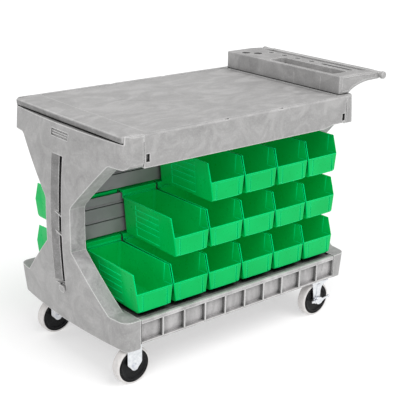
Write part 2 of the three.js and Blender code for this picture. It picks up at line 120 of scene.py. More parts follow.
def add_studio():
    world = bpy.data.worlds.new("studio")
    world.use_nodes = True
    world.node_tree.nodes["Background"].inputs["Color"].default_value = (1, 1, 1, 1)
    world.node_tree.nodes["Background"].inputs["Strength"].default_value = 0.66
    bpy.context.scene.world = world
    bpy.context.scene.view_settings.view_transform = "Standard"
    add_sun("key", (0.15, -0.62, 1.0), 1.3, 40)
    add_sun("fill", (-0.75, -0.62, 0.7), 0.82, 34)


def add_floor():
    bm = bmesh.new()
    bmesh.ops.create_grid(bm, x_segments=1, y_segments=1, size=14)
    mesh = bpy.data.meshes.new("floor")
    bm.to_mesh(mesh)
    bm.free()
    floor = bpy.data.objects.new("floor", mesh)
    bpy.context.scene.collection.objects.link(floor)
    floor.data.materials.append(paper())


# ---- materials -----------------------------------------------------------------------------

class Nodes:
    """A small wrapper that keeps a material's node code short."""

    def __init__(self, name):
        self.material = bpy.data.materials.new(name)
        self.material.use_nodes = True
        self.tree = self.material.node_tree
        self.shader = self.tree.nodes["Principled BSDF"]

    def add(self, kind, **settings):
        node = self.tree.nodes.new(kind)
        for key, value in settings.items():
            if key[0].isupper():
                node.inputs[key.replace("_", " ")].default_value = value
            else:
                setattr(node, key, value)
        return node

    def link(self, source, target):
        self.tree.links.new(source, target)

    def surface_place(self, scale=(1, 1, 1), per_object=False):
        coordinates = self.add("ShaderNodeTexCoord").outputs["Object"]
        if per_object:
            info = self.add("ShaderNodeObjectInfo")
            shifted = self.add("ShaderNodeVectorMath", operation="ADD")
            self.link(coordinates, shifted.inputs[0])
            self.link(info.outputs["Location"], shifted.inputs[1])
            coordinates = shifted.outputs[0]
        mapping = self.add("ShaderNodeMapping", Scale=scale)
        self.link(coordinates, mapping.inputs["Vector"])
        return mapping.outputs["Vector"]

    def noise(self, place, scale, detail=3, roughness=0.5, distortion=0.0):
        node = self.add("ShaderNodeTexNoise", Scale=scale, Detail=detail, Roughness=roughness,
                        Distortion=distortion)
        self.link(place, node.inputs["Vector"])
        return node.outputs["Fac"]

    def ramp(self, factor, *stops):
        node = self.add("ShaderNodeValToRGB")
        elements = node.color_ramp.elements
        while len(elements) < len(stops):
            elements.new(0.5)
        for element, (position, colour) in zip(elements, stops):
            element.position = position
            element.color = (*colour, 1) if len(colour) == 3 else colour
        self.link(factor, node.inputs["Fac"])
        return node.outputs["Color"]

    def spread(self, factor, low, high, start=0.0, end=1.0):
        node = self.add("ShaderNodeMapRange")
        for socket, value in zip(("From Min", "From Max", "To Min", "To Max"),
                                 (start, end, low, high)):
            node.inputs[socket].default_value = value
        self.link(factor, node.inputs["Value"])
        return node.outputs["Result"]

    def mix(self, factor, a, b, blend="MIX"):
        node = self.add("ShaderNodeMix", data_type="RGBA", blend_type=blend)
        for value, socket in ((factor, node.inputs[0]), (a, node.inputs[6]), (b, node.inputs[7])):
            if isinstance(value, bpy.types.NodeSocket):
                self.link(value, socket)
            elif isinstance(value, tuple):
                socket.default_value = (*value, 1)
            else:
                socket.default_value = value
        return node.outputs[2]

    def bump(self, *layers):
        normal = None
        for height, strength, distance in layers:
            node = self.add("ShaderNodeBump", Strength=strength, Distance=distance)
            self.link(height, node.inputs["Height"])
            if normal:
                self.link(normal, node.inputs["Normal"])
            normal = node.outputs["Normal"]
        self.link(normal, self.shader.inputs["Normal"])

    def edges(self, radius):
        """1 on rounded or sharp edges, 0 on flat faces."""
        rounded_normal = self.add("ShaderNodeBevel", samples=6, Radius=radius)
        plain_normal = self.add("ShaderNodeNewGeometry")
        dot = self.add("ShaderNodeVectorMath", operation="DOT_PRODUCT")
        self.link(rounded_normal.outputs["Normal"], dot.inputs[0])
        self.link(plain_normal.outputs["True Normal"], dot.inputs[1])
        return self.spread(dot.outputs["Value"], 1, 0, 0.86, 0.99)

    def painted_crevice_shade(self, distance, darkest=0.25):
        """Painted shade: a grey multiplier from ambient occlusion that falls off in corners, gaps and
        slots.
        """
        node = self.add("ShaderNodeAmbientOcclusion", samples=8, Distance=distance)
        return self.spread(node.outputs["AO"], darkest, 1, 0.22, 0.7)

    # Multiplies a colour by painted shade that darkens corners, gaps and slots.
    def shaded(self, colour, distance, darkest=0.25):
        grey = self.add("ShaderNodeCombineColor")
        factor = self.painted_crevice_shade(distance, darkest)
        for channel in ("Red", "Green", "Blue"):
            self.link(factor, grey.inputs[channel])
        return self.mix(1.0, colour, grey.outputs["Color"], "MULTIPLY")


def paper():
    """White background paper, lit a little from behind so that shadows on it stay pale."""
    nodes = Nodes("floor_paper")
    nodes.shader.inputs["Base Color"].default_value = (0.6, 0.6, 0.6, 1)
    nodes.shader.inputs["Roughness"].default_value = 1.0
    nodes.shader.inputs["Specular IOR Level"].default_value = 0.0
    nodes.shader.inputs["Emission Color"].default_value = (1, 1, 1, 1)
    nodes.shader.inputs["Emission Strength"].default_value = 0.43
    return nodes.material


def foam_plastic(name, streak=(1, 1, 1), level=1.0, reach=0.05, green=0.985, calm=0.0):
    """Structural foam: swirled light grey skin with a fine pebble, a painted highlight on edges and
    painted shade in crevices.
    """
    nodes = Nodes(name)
    place = nodes.surface_place(streak)
    fine = nodes.surface_place()
    # green below 1 is a slight magenta tint, painted to offset green light bounced from the bins
    dark, mid, light = ((c * level, c * level * green, c * level * 0.98) for c in
                        (0.28 + 0.1 * calm, 0.385, 0.5 - 0.1 * calm))
    swirl = nodes.noise(place, 11, 7, 0.66, 1.5)
    colour = nodes.ramp(swirl, (0.34, dark), (0.5, mid), (0.62, light))
    veins = nodes.noise(place, 16, 8, 0.7, 3.2)
    vein_mask = nodes.ramp(veins, (0.44, (0, 0, 0)), (0.5, (1, 1, 1)), (0.56, (0, 0, 0)))
    colour = nodes.mix(nodes.spread(vein_mask, 0, 0.28), colour, light)
    speckle = nodes.noise(fine, 190, 4, 0.7)
    colour = nodes.mix(nodes.spread(speckle, 0.3, 0, 0.3, 0.5), colour, dark)
    colour = nodes.mix(nodes.spread(speckle, 0, 0.35, 0.55, 0.75), colour, (0.62, 0.615, 0.61))
    # painted highlight: rounded and sharp edges are lightened as if catching light
    colour = nodes.mix(nodes.spread(nodes.edges(0.006), 0, 0.8), colour, (0.76, 0.755, 0.75))
    # painted shade: the colour darkens in corners, gaps and slots
    nodes.link(nodes.shaded(colour, reach, 0.0), nodes.shader.inputs["Base Color"])
    nodes.link(nodes.spread(swirl, 0.42, 0.62, 0.3, 0.7), nodes.shader.inputs["Roughness"])
    nodes.bump((nodes.noise(fine, 900, 2), 0.12, 0.0006), (nodes.noise(fine, 70, 4), 0.1, 0.002))
    return nodes.material


def bin_plastic():
    nodes = Nodes("bin_green_plastic")
    place = nodes.surface_place(per_object=True)
    cloud = nodes.noise(place, 9, 3)
    colour = nodes.ramp(cloud, (0.3, (0.0, 0.36, 0.06)), (0.7, (0.0, 0.43, 0.085)))
    dust = nodes.noise(place, 60, 5, 0.7)
    colour = nodes.mix(nodes.spread(dust, 0, 0.05, 0.45, 0.75), colour, (0.0, 0.55, 0.2))
    # painted highlight: edges lightened to a brighter green as if catching light
    colour = nodes.mix(nodes.spread(nodes.edges(0.003), 0, 0.8), colour, (0.0, 0.95, 0.36))
    # painted shade: the colour darkens in corners, gaps and slots
    nodes.link(nodes.shaded(colour, 0.022, 0.0), nodes.shader.inputs["Base Color"])
    nodes.shader.inputs["Specular Tint"].default_value = (0.0, 1.0, 0.8, 1)
    nodes.shader.inputs["Specular IOR Level"].default_value = 0.5
    # a faint glow lifts the shaded insides of the bins; real plastic has none
    glow = nodes.shaded((0.0, 1.0, 0.12), 0.03, 0.0)
    nodes.link(glow, nodes.shader.inputs["Emission Color"])
    nodes.shader.inputs["Emission Strength"].default_value = 0.075
    nodes.link(nodes.spread(dust, 0.24, 0.38, 0.3, 0.7), nodes.shader.inputs["Roughness"])
    nodes.bump((nodes.noise(place, 700, 2), 0.05, 0.0004), (nodes.noise(place, 25, 2), 0.05, 0.002))
    return nodes.material


def zinc_plate():
    nodes = Nodes("zinc_plate")
    place = nodes.surface_place()
    grain = nodes.noise(nodes.surface_place((1, 1, 12)), 260, 3)
    spangle = nodes.noise(place, 90, 4, 0.6)
    colour = nodes.ramp(spangle, (0.3, (0.66, 0.68, 0.72)), (0.7, (0.88, 0.89, 0.91)))
    nodes.link(colour, nodes.shader.inputs["Base Color"])
    nodes.shader.inputs["Metallic"].default_value = 0.9
    nodes.link(nodes.spread(grain, 0.26, 0.46, 0.3, 0.7), nodes.shader.inputs["Roughness"])
    nodes.bump((grain, 0.06, 0.0003))
    return nodes.material


def hub_plastic():
    nodes = Nodes("hub_black_plastic")
    place = nodes.surface_place()
    cloud = nodes.noise(place, 40, 4)
    colour = nodes.ramp(cloud, (0.3, (0.002, 0.002, 0.0025)), (0.7, (0.007, 0.007, 0.008)))
    nodes.link(colour, nodes.shader.inputs["Base Color"])
    nodes.link(nodes.spread(cloud, 0.16, 0.28, 0.3, 0.7), nodes.shader.inputs["Roughness"])
    nodes.shader.inputs["Specular IOR Level"].default_value = 0.2
    nodes.bump((nodes.noise(place, 900, 2), 0.1, 0.0003))
    return nodes.material


def tyre_rubber():
    nodes = Nodes("tyre_grey_rubber")
    place = nodes.surface_place()
    cloud = nodes.noise(place, 55, 5, 0.65)
    colour = nodes.ramp(cloud, (0.3, (0.55, 0.53, 0.52)), (0.7, (0.72, 0.70, 0.69)))
    nodes.link(colour, nodes.shader.inputs["Base Color"])
    nodes.link(nodes.spread(cloud, 0.55, 0.75, 0.3, 0.7), nodes.shader.inputs["Roughness"])
    nodes.bump((nodes.noise(place, 1100, 3), 0.15, 0.0003))
    return nodes.material


def louvre_paint():
    nodes = Nodes("louvre_grey_paint")
    place = nodes.surface_place()
    cloud = nodes.noise(place, 14, 4)
    # the magenta lean of the grey is a painted tint that offsets green light bounced from the bins
    colour = nodes.ramp(cloud, (0.3, (0.29, 0.255, 0.29)), (0.7, (0.37, 0.325, 0.37)))
    # painted highlight: edges lightened as if catching light
    colour = nodes.mix(nodes.spread(nodes.edges(0.0012), 0, 0.35), colour, (0.5, 0.5, 0.5))
    # painted shade: the colour darkens in corners, gaps and slots
    nodes.link(nodes.shaded(colour, 0.02, 0.15), nodes.shader.inputs["Base Color"])
    nodes.link(nodes.spread(cloud, 0.36, 0.5, 0.3, 0.7), nodes.shader.inputs["Roughness"])
    nodes.bump((nodes.noise(place, 650, 2), 0.1, 0.0004))
    return nodes.material


# ---- solid modelling helpers, all in millimetres --------------------------------------------

def arc(cx, cy, radius, start, end, steps):
    angles = [math.radians(start + (end - start) * i / steps) for i in range(steps + 1)]
    return [(cx + radius * math.cos(a), cy + radius * math.sin(a)) for a in angles]


def prism(points, axis, low, high):
    """Closed prism: the outline is (y, z) for X, (x, z) for Y and (x, y) for Z."""
    bm = bmesh.new()
    place = {"X": lambda a, b, c: (c, a, b), "Y": lambda a, b, c: (a, c, b),
             "Z": lambda a, b, c: (a, b, c)}[axis]
    rings = [[bm.verts.new(place(a, b, level)) for a, b in points] for level in (low, high)]
    bm.faces.new(rings[0])
    bm.faces.new(rings[1])
    for i in range(len(points)):
        j = (i + 1) % len(points)
        bm.faces.new((rings[0][i], rings[0][j], rings[1][j], rings[1][i]))
    bmesh.ops.recalc_face_normals(bm, faces=bm.faces)
    return bm


def box(xs, ys, zs):
    return prism([(xs[0], ys[0]), (xs[1], ys[0]), (xs[1], ys[1]), (xs[0], ys[1])], "Z", *zs)


def rounded_box(xs, ys, zs, radius, axis="Z", steps=4):
    """Box whose four edges along one axis are rounded."""
    spans = {"X": (ys, zs, xs), "Y": (xs, zs, ys), "Z": (xs, ys, zs)}[axis]
    (a0, a1), (b0, b1), levels = spans
    points = []
    for cx, cy, start in ((a1 - radius, b1 - radius, 0), (a0 + radius, b1 - radius, 90),
                          (a0 + radius, b0 + radius, 180), (a1 - radius, b0 + radius, 270)):
        points += arc(cx, cy, radius, start, start + 90, steps)
    return prism(points, axis, *levels)


def rod(axis, radius, levels, centre, steps=32):
    return prism(arc(*centre, radius, 0, 360 - 360 / steps, steps - 1), axis, *levels)


def lathe(profile, steps, axis_point=(0, 0, 0)):
    """Closed (radius, along) profile turned about the Y direction."""
    bm = bmesh.new()
    rings = []
    for i in range(steps):
        a = 2 * math.pi * i / steps
        rings.append([bm.verts.new((r * math.cos(a), y, r * math.sin(a))) for r, y in profile])
    for i in range(steps):
        one, two = rings[i], rings[(i + 1) % steps]
        for j in range(len(profile)):
            k = (j + 1) % len(profile)
            bm.faces.new((one[j], one[k], two[k], two[j]))
    bmesh.ops.recalc_face_normals(bm, faces=bm.faces)
    bmesh.ops.translate(bm, vec=Vector(axis_point), verts=bm.verts)
    return bm


def merged(*parts):
    """Several shells in one mesh."""
    result = parts[0]
    for part in parts[1:]:
        mesh = bpy.data.meshes.new("part")
        part.to_mesh(mesh)
        result.from_mesh(mesh)
        bpy.data.meshes.remove(mesh)
        part.free()
    return result


def with_modifiers(bm, *settings):
    """Run modifiers on a bmesh; each setting is (type, {property: value})."""
    mesh = bpy.data.meshes.new("work")
    bm.to_mesh(mesh)
    bm.free()
    work = bpy.data.objects.new("work", mesh)
    bpy.context.scene.collection.objects.link(work)
    for kind, values in settings:
        modifier = work.modifiers.new(kind.lower(), kind)
        for key, value in values.items():
            setattr(modifier, key, value)
    depsgraph = bpy.context.evaluated_depsgraph_get()
    result = bmesh.new()
    result.from_mesh(work.evaluated_get(depsgraph).to_mesh())
    bpy.data.objects.remove(work)
    bpy.data.meshes.remove(mesh)
    return result


def boolean(bm, tool, operation):
    mesh = bpy.data.meshes.new("tool")
    tool.to_mesh(mesh)
    tool.free()
    other = bpy.data.objects.new("tool", mesh)
    bpy.context.scene.collection.objects.link(other)
    result = with_modifiers(bm, ("BOOLEAN", {"operation": operation, "object": other,
                                             "solver": "EXACT"}))
    bpy.data.objects.remove(other)
    bpy.data.meshes.remove(mesh)
    return result


def cut(bm, *tools):
    for tool in tools:
        bm = boolean(bm, tool, "DIFFERENCE")
    return bm


def join(bm, *tools):
    for tool in tools:
        bm = boolean(bm, tool, "UNION")
    return bm


def intersect(bm, tool):
    return boolean(bm, tool, "INTERSECT")


def clean(bm):
    """Weld doubles and dissolve the flat seams that booleans leave."""
    bmesh.ops.remove_doubles(bm, verts=bm.verts, dist=0.01)
    bmesh.ops.dissolve_limit(bm, angle_limit=math.radians(0.6), verts=bm.verts, edges=bm.edges)


def rounded(bm, radius, segments=3, angle=30, where=None):
    """Round the sharp edges, or only those that pass a test."""
    sharp = [e for e in bm.edges if len(e.link_faces) == 2
             and e.calc_face_angle(0) > math.radians(angle) and (where is None or where(e))]
    bmesh.ops.bevel(bm, geom=sharp, offset=radius, offset_type="OFFSET", segments=segments,
                    profile=0.5, affect="EDGES", clamp_overlap=True, miter_outer="ARC")


def turned_solid(profile, steps, at):
    """Solid of revolution about Y whose profile starts and ends on the axis."""
    bm = lathe(profile, steps, at)
    bmesh.ops.remove_doubles(bm, verts=bm.verts, dist=0.001)
    loose = [f for f in bm.faces if f.calc_area() < 1e-6]
    bmesh.ops.delete(bm, geom=loose, context="FACES")
    return bm


def tapered_box(xs, zs, y_wide, y_narrow, draft):
    """Box cut from one side that gets smaller by draft towards y_narrow."""
    rings = []
    for y, inset in ((y_wide, 0), (y_narrow, draft)):
        x0, x1, z0, z1 = xs[0] + inset, xs[1] - inset, zs[0] + inset, zs[1] - inset
        rings.append([(x0, y, z0), (x1, y, z0), (x1, y, z1), (x0, y, z1)])
    return ring_solid(rings)


def mirrored_y(points):
    """An outline given for positive y, closed with its mirror image."""
    return list(points) + [(-y, z) for y, z in reversed(points)]


def piece(name, bm, materials, body, replaces, at=None):
    """Turn a bmesh in millimetres into a visible piece that rides on a body."""
    origin = Vector((MID_X, 0, 0)) if at is None else Vector(at)
    local = Matrix.Scale(MM, 4)
    if at is None:
        local = Matrix.Translation(origin) @ local
    bmesh.ops.transform(bm, matrix=local, verts=bm.verts)
    return show(name, finished_mesh(name, bm, materials, 1), body, replaces, at)


def finished_mesh(name, bm, materials, scale=MM):
    bmesh.ops.scale(bm, vec=(scale, scale, scale), verts=bm.verts)
    mesh = bpy.data.meshes.new(name)
    bm.to_mesh(mesh)
    bm.free()
    mesh.shade_smooth()
    mesh.set_sharp_from_angle(angle=math.radians(50))
    for material in materials if isinstance(materials, tuple) else (materials,):
        mesh.materials.append(material)
    return mesh


def paint(bm, index, test):
    """Give the faces that pass a test another of the piece's materials."""
    bm.normal_update()
    for face in bm.faces:
        if test(face.calc_center_median(), face.normal, face):
            face.material_index = index


def show(name, mesh, body, replaces, at=None, turn=0):
    obj = bpy.data.objects.new(name, mesh)
    bpy.context.scene.collection.objects.link(obj)
    if at is not None:
        obj.location = at
    obj.rotation_euler.z = turn
    weighted = obj.modifiers.new("weighted_normals", "WEIGHTED_NORMAL")
    weighted.keep_sharp = True
    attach(obj, body)
    if replaces:
        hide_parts(*replaces)
    return obj


# ---- deck ------------------------------------------------------------------------------------

def bow(y):
    return FRAME_BOW * (y / 300) ** 2


def lip_curve(sign, steps=24):
    ys = [LIP_REACH * (2 * i / steps - 1) for i in range(steps + 1)]
    return [(sign * (LIP_OUT - LIP_BOW * (y / LIP_REACH) ** 2), sign * y) for y in ys]


def make_deck(materials):
    rear, front = SEAM_REAR + GAP, SEAM_HANDLE - GAP
    inner = HALF_WIDTH - APRON_THICK
    outline = [(rear, -LIP_REACH), (rear, -HALF_WIDTH), (front, -HALF_WIDTH), (front, -LIP_REACH),
               *lip_curve(1), (front, LIP_REACH), (front, HALF_WIDTH), (rear, HALF_WIDTH),
               (rear, LIP_REACH), *lip_curve(-1)]
    body = prism(outline, "Z", DECK_UNDER, DECK_TOP)
    for vert in body.verts:
        if abs(vert.co.x) > 470 and vert.co.z < DECK_UNDER + 1:
            vert.co.x -= math.copysign(2, vert.co.x)
    rounded(body, 9, 5, where=lambda e: abs(e.verts[0].co.x) > 470
            and abs(e.verts[0].co.z - e.verts[1].co.z) > 5 and abs(e.verts[0].co.y) > LIP_REACH - 1)
    side = [(rear + 1.6, DECK_UNDER + 1), (rear + 1.6, APRON_BOTTOM), (333, APRON_BOTTOM),
            (345, APRON_BOTTOM + 2), (360, APRON_BOTTOM + 7), (372, APRON_BOTTOM + 9),
            (front - 1.8, APRON_BOTTOM + 9), (front - 1.8, DECK_UNDER + 1)]
    body = join(body, prism(side, "Y", inner, HALF_WIDTH), prism(side, "Y", -HALF_WIDTH, -inner))
    clean(body)

    def on_the_rim(edge):
        middle = (edge.verts[0].co + edge.verts[1].co) / 2
        at_seam = min(abs(middle.x - rear), abs(middle.x - front)) < 1
        on_a_lip = abs(middle.x) > 450 and middle.z < DECK_UNDER + 1
        return (middle.z > DECK_TOP - 1 or on_a_lip) and not at_seam

    rounded(body, 6, 5, where=on_the_rim)
    tools = [rounded_box((-388, 418), (-296, 296), (DECK_SURFACE, DECK_TOP + 5), 12)]
    for sign in (1, -1):
        ys = sorted((sign * 301, sign * (HALF_WIDTH + 4)))
        tools += [box((x - 9, x + 9), ys, (DECK_SURFACE, DECK_TOP + 5)) for x in (-97, 131)]
        ys = sorted((sign * (inner + 2), sign * (HALF_WIDTH + 3)))
        tools += [rounded_box((x - 6.5, x + 6.5), ys, (714, 738), 1.5, "Y") for x in (-396, 424)]
    body = cut(body, *tools)
    clean(body)
    rounded(body, 1.2, 2, 40)
    # painted shade: the lip's outer face takes the darker foam copy
    paint(body, 1, lambda at, n, f: abs(at.x) > 470 and abs(n.x) > 0.5 and n.z < 0.35)
    paint(body, 2, lambda at, n, f: abs(n.y) > 0.7 and at.z < DECK_UNDER + 12)
    piece("deck", body, materials, "cart", ["deck_top"])


# ---- tool tray -------------------------------------------------------------------------------

def make_tray(material):
    bottom = DECK_TOP + GAP
    sweep = [(468, bottom), (473, 800.5), (479, 804.5), (490, 810.5), (504, 816.5), (520, 821.5),
             (541, 826), (565, 829)]
    tip = BAR_X - 4
    profile = [(TRAY_WALL, bottom), *sweep, (tip, 830), (tip, BAR_Z + 9), (590, TRAY_TOP - 3),
               (540, TRAY_TOP), (TRAY_WALL, TRAY_TOP)]
    wing = prism(profile, "Y", -TRAY_HALF, TRAY_HALF)
    clean(wing)
    rounded(wing, 3.5, 3)
    low = bottom + 9
    panel = [(TRAY_WALL + 16, low), (466, low), *[(x - 3, z + 9) for x, z in sweep[3:]],
             (597, 839), (597, TRAY_TOP - 12), (540, TRAY_TOP - 8), (TRAY_WALL + 16, TRAY_TOP - 8)]
    tools = [prism(panel, "Y", *sorted((s * (TRAY_HALF - 2), s * (TRAY_HALF + 4)))) for s in (1, -1)]
    tools.append(rounded_box((567, BAR_X - BAR_R + 1), (-252, 252), (780, 880), 8))
    well = rounded_box((434, 508), (-242, 76), (TRAY_TOP - 34, TRAY_TOP + 5), 12)
    for vert in well.verts:
        if vert.co.z < TRAY_TOP - 30:
            vert.co.x += 9 if vert.co.x < 471 else -5
            vert.co.y += -4 if vert.co.y > -83 else 4
    tools.append(well)
    tools.append(rounded_box((529, 546), (-235, -85), (815, TRAY_TOP + 5), 8))
    tools += [rod("Z", 11, (815, TRAY_TOP + 5), (540, y)) for y in (172, 102, 32, -38)]
    tools += [rod("Z", 17, (TRAY_TOP - 40, TRAY_TOP + 5), c) for c in ((457, 222), (486, 188))]
    body = cut(wing, *tools)
    ribs = [prism([(TRAY_WALL - w, y - h), (TRAY_WALL + 3, y - h - 3), (TRAY_WALL + 3, y + h + 3),
                   (TRAY_WALL - w, y + h)], "Z", bottom + 3, bottom + tall)
            for y, w, h, tall in ((-68, 0.4, 2, 40), (-196, 0.4, 0.6, 48))]
    body = join(body, *ribs)
    clean(body)
    rounded(body, 1.4, 2, 40)
    half = [(0, -BAR_HALF), (9, -BAR_HALF), (12, -BAR_HALF + 1.5), (BAR_R, -BAR_HALF + 5),
            (BAR_R, -BAR_HALF + 11), (11, -BAR_HALF + 12.5), (11, -TRAY_HALF + 2)]
    middle = [(11, -254), (12.2, -250), (12.2, 250), (11, 254)]
    bar = turned_solid(half + middle + [(r, -y) for r, y in reversed(half)], 32, (BAR_X, 0, BAR_Z))
    piece("tray", merged(body, bar), material, "cart", ["handle_tray"])


# ---- end frames --------------------------------------------------------------------------------

def frame_face(y, z):
    straighter = 1 - 0.15 * min(max((z - 690) / 80, 0), 1)
    return (-FRAME_OUT - FRAME_BULGE * (1 - ((z - FRAME_MID_Z) / FRAME_HALF_Z) ** 2)
            + bow(y) * straighter)


def frame_outer(y, z):
    past = min(max(0.0, abs(y) - (HALF_WIDTH - CORNER_R)), CORNER_R)
    return frame_face(y, z) + CORNER_R - math.sqrt(CORNER_R ** 2 - past ** 2)


def inset_outline(points, distance):
    """Miter offset of a closed outline towards its inside."""
    area = sum(a[0] * b[1] - b[0] * a[1] for a, b in zip(points, points[1:] + points[:1]))
    turn = 1 if area > 0 else -1
    result = []
    for before, here, after in zip(points[-1:] + points[:-1], points, points[1:] + points[:1]):
        one = (Vector(here) - Vector(before)).normalized()
        two = (Vector(after) - Vector(here)).normalized()
        n1, n2 = Vector((-one.y, one.x)) * turn, Vector((-two.y, two.x)) * turn
        miter = (n1 + n2) / max(1 + n1.dot(n2), 0.2)
        result.append(tuple(Vector(here) + miter * distance))
    return result


def make_end_frame(name, node, materials, top_seam, foot_bottom, shoulder, mirror):
    """Modelled flat (x = depth behind the outer face), then bent onto the curved face."""
    wide = HALF_WIDTH
    column = [(wide, FRAME_TOP), (wide, shoulder + 12), (306, shoulder + 3), (299, shoulder),
              (shoulder - 454, shoulder), (shoulder - 464, shoulder - 4), (76, 535),
              (WAIST, 524), (WAIST, 384), (232, 225),
              (240, FOOT_TOP)]
    foot = [(wide - 4, FOOT_TOP), (wide, FOOT_TOP - 4), (wide, foot_bottom + 10),
            (308, foot_bottom + 3), (302, foot_bottom)]
    outline = mirrored_y(column + foot)
    depth, deep = FRAME_DEPTH, FRAME_DEPTH + 55
    body = prism(outline, "X", 0, depth)
    body = join(body, prism(mirrored_y([(wide, FOOT_TOP - 0.1)] + foot[2:]), "X", 0, deep))
    knuckle = [(298.8, DECK_TOP), (298.8, 700), (301, 700), (307, 703), (wide, 712),
               (wide, 792), (307, DECK_TOP)]
    for sign in (1, -1):
        body = join(body, prism([(sign * y, z) for y, z in knuckle], "X", 0, deep))
    clean(body)
    rounded(body, 8, 6, 35, lambda e: abs(e.verts[0].co.x - e.verts[1].co.x) < 1)
    body = join(body, box((22, depth), (-299.6, 299.6), (FRAME_TOP - 8, DECK_UNDER - GAP)))
    tools = [box((12, deep + 5), (-299, 299), (90, 206))]
    hollow = inset_outline(outline, 9)
    pocket = intersect(prism(hollow, "X", 9, deep), box((0, deep), (-302, 302), (FOOT_TOP + 9, 748)))
    pocket = cut(pocket, box((0, deep), (-30, 30), (200, 800)),
                 *[box((0, deep), (-310, 310), (z - 3, z + 3)) for z in (290, 610, 690)])
    tools.append(pocket)
    slope = [(-6, 40), (0.5, 40), (19, CHANNEL_NEAR), (-6, CHANNEL_NEAR)]
    tools.append(prism(slope, "Z", CHANNEL_LOW, CHANNEL_HIGH))
    tools.append(box((-5, 50), (CHANNEL_NEAR, 8), (CHANNEL_LOW + 6, CHANNEL_HIGH)))
    tools.append(box((12, 50), (CHANNEL_NEAR, 28), (CHANNEL_LOW + 10, CHANNEL_HIGH)))
    scoop = [(-6, 238), (-1, 238), (3, 242), (7, 250), (12, 262), (-6, 262)]
    tools.append(prism(scoop, "Y", CHANNEL_NEAR, 10))
    nub = rounded_box((-6, 8), (-20, 10), (229, 251), 8, "X")
    tools.append(prism([(-6, -44), (4, -44), (4, 50), (-6, 50)], "Z", 733, 755))
    body = cut(body, *tools)
    ribs = [prism([(22, z + 6), (-22.5, z - 5), (-22.5, z - 9), (22, z + 3)], "X", 5, 14)
            for z in CROSS_RIBS]
    ribs += [box((1.6, 5), (-40, 46), (z, z + 2.5)) for z in (739, 746.5)]
    body = join(body, nub, *ribs, box((depth - 20, depth), (-16, 16), (FOOT_TOP - 4, 698)))
    clean(body)
    rounded(body, 1.4, 2, 40)
    for plane in [(0, y, 0) for y in (-309.5, -306, -301, -295, -289, *range(-280, 281, 20),
                                      289, 295, 301, 306, 309.5)] + [
            (0, 0, z) for z in range(140, 790, 40)]:
        normal = (0, 1, 0) if plane[2] == 0 else (0, 0, 1)
        everything = body.verts[:] + body.edges[:] + body.faces[:]
        bmesh.ops.bisect_plane(body, geom=everything, plane_co=plane, plane_no=normal, dist=0.001)
    # painted shade: the faces inside the channel take the darker foam copy
    paint(body, 1, lambda at, n, f: abs(at.y) < 41 and 250 < at.z < 681 and 1.5 < at.x < 22
          and f.calc_area() > 250)
    # painted tint: faces that look towards the bins take a less green foam copy to offset green light
    # bounced from them
    paint(body, 2, lambda at, n, f: abs(n.x) < 0.5 and 50 < abs(at.y) < 308 and 212 < at.z < 720
          and (at.z > 226 or n.z > 0.3))
    limit = -max(top_seam, BASE_SEAM) - GAP - 5
    for vert in body.verts:
        flat, y, z = vert.co
        outer = frame_outer(y, z)
        if z > 699:  # the corner blocks stand a little proud
            outer -= 2.5 * min(max((abs(y) - 288) / 12, 0), 1)
        back = min(frame_face(y, z) + depth, limit)
        seam = -(top_seam if z > FRAME_MID_Z else BASE_SEAM) - GAP
        if flat <= depth:
            # the parts near the face keep their depth, the rest stretches to the back
            near = min(flat, 50)
            x = outer + near + (flat - near) / max(depth - 50, 1) * (back - outer - 50)
        else:
            x = min(back + (flat - depth) / 45 * (seam - back), seam)
        vert.co.x = x
    if mirror:
        bmesh.ops.scale(body, vec=(-1, 1, 1), verts=body.verts)
        bmesh.ops.reverse_faces(body, faces=body.faces)
    piece(name, body, materials, "cart", [node])


# ---- base and divider --------------------------------------------------------------------------

def make_base(materials):
    seam = BASE_SEAM
    body = box((-seam, seam), (-290, 290), (200, BASE_FLOOR))
    for sign in (1, -1):
        ys = sorted((sign * 285, sign * HALF_WIDTH))
        rail = box((-seam + 2, seam - 2), ys, (RAIL_BOTTOM, BASE_TOP))
        rounded(rail, 3.5, 3, where=lambda e: abs((e.verts[0].co - e.verts[1].co).x) > 100)
        body = join(body, rail)
    body = join(body, box((-BASE_TONGUE, BASE_TONGUE), (-290, 290), (186, 202)))
    for track in (NEAR_TRACK, FAR_TRACK):
        for xs in ((-BASE_TONGUE, -384), (360, BASE_TONGUE)):
            sign = 1 if track > 0 else -1
            ys = sorted((sign * (abs(track) - 36), sign * min(298, abs(track) + 36)))
            body = join(body, box(xs, ys, (RAIL_BOTTOM, 188)))
    bay = 2 * seam / RAIL_BAYS
    tools = []
    for sign in (1, -1):
        for i in range(RAIL_BAYS):
            left = -seam + i * bay
            outside, inside = sign * (HALF_WIDTH + 3), sign * 297
            tools.append(tapered_box((left + BAY_RIB, left + bay - BAY_RIB),
                                     (RAIL_BAY_LOW, RAIL_BAY_HIGH), outside, inside, BAY_DRAFT))
        tools.append(box((378.5, 380), sorted((sign * 296, sign * 300)), (170, 196)))
    body = cut(body, *tools)
    clean(body)
    rounded(body, 1.3, 2, 40)
    for y in (-300, 300):
        everything = body.verts[:] + body.edges[:] + body.faces[:]
        bmesh.ops.bisect_plane(body, geom=everything, plane_co=(0, y, 0), plane_no=(0, 1, 0))
    # painted shade: the floor strip under the bins takes the darker foam copy
    paint(body, 1, lambda at, n, f: n.z > 0.7 and abs(at.y) < 300 and at.z > BASE_FLOOR - 1)
    # painted shade: the side walls of the rail's bays take the darker foam copy
    paint(body, 1, lambda at, n, f: abs(n.x) > 0.7 and abs(at.y) > 296 and 147 < at.z < 207
          and abs(at.x) < BASE_SEAM - 1)
    piece("base", body, materials, "cart", ["base_deck"])


